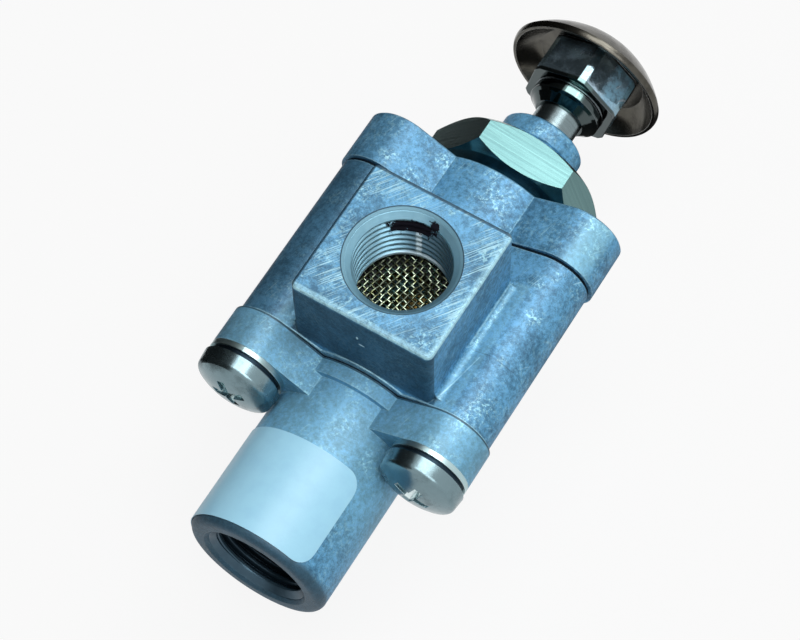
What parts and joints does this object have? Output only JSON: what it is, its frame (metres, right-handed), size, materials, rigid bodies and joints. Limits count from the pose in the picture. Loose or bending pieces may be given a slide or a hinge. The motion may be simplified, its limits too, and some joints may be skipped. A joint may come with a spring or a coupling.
{
  "type": "air brake control valve",
  "caption": "Panel-mounted air brake control valve with a push knob on a threaded neck, a square supply port boss and a tubular delivery port.",
  "frame": {"origin": "on the plunger axis, in the cover's outer face that the panel lies against", "axes": "+Y along the plunger towards the knob, +Z out of the supply port, +X across the two upper lobes"},
  "size_m": [0.0454, 0.1061, 0.0535],
  "materials": {
    "casting": "tumbled die casting",
    "gasket": "matt black",
    "plated_screws": "bright zinc plating",
    "plated_washers": "bright zinc plating",
    "dark_spring_steel": "dark spring steel",
    "nut_plating": "bright plated, turned faces",
    "screen_mesh": "woven wire",
    "label": "blank white film",
    "liner_brass": "bored and turned",
    "seal_rubber": "moulded",
    "bush_bronze": "sintered bronze",
    "clip_steel": "spring steel",
    "bumper": "moulded",
    "spring_steel": "drawn wire",
    "spool_alloy": "turned",
    "stem_steel": "ground",
    "knob_chrome": "polished"
  },
  "bodies": {
    "housing": {"valve_body": "casting", "cover": "casting", "end_cap": "casting", "cover_gasket": "gasket", "cap_gasket": "gasket", "cap_screws": "plated_screws", "flat_washers": "plated_washers", "lock_washers": "dark_spring_steel", "panel_nut": "nut_plating", "inlet_screen": "screen_mesh", "port_label": "label", "bore_liner": "liner_brass", "liner_rings": "seal_rubber", "guide_bush": "bush_bronze", "stem_seal": "seal_rubber", "seal_retainer": "clip_steel", "dust_wiper": "seal_rubber", "bumper_washer": "bumper", "spring_seat": "plated_washers", "return_spring": "spring_steel"},
    "spool_group": {"spool": "spool_alloy", "spool_rings": "seal_rubber", "stem_clip": "clip_steel"},
    "plunger": {"plunger_stem": "stem_steel", "knob": "knob_chrome"}
  },
  "joints": [
    {"name": "plunger_push", "type": "slide", "parent": "housing", "child": "spool_group", "axis": [0, -1, 0], "range_m": [0, 0.004], "stiffness_N_per_m": 2500, "springref_m": -0.004, "deforming": ["return_spring"]},
    {"name": "knob_turn", "type": "hinge", "parent": "spool_group", "child": "plunger", "pos_m": [0, 0.0203, 0], "axis": [0, 1, 0], "continuous": true}
  ]
}
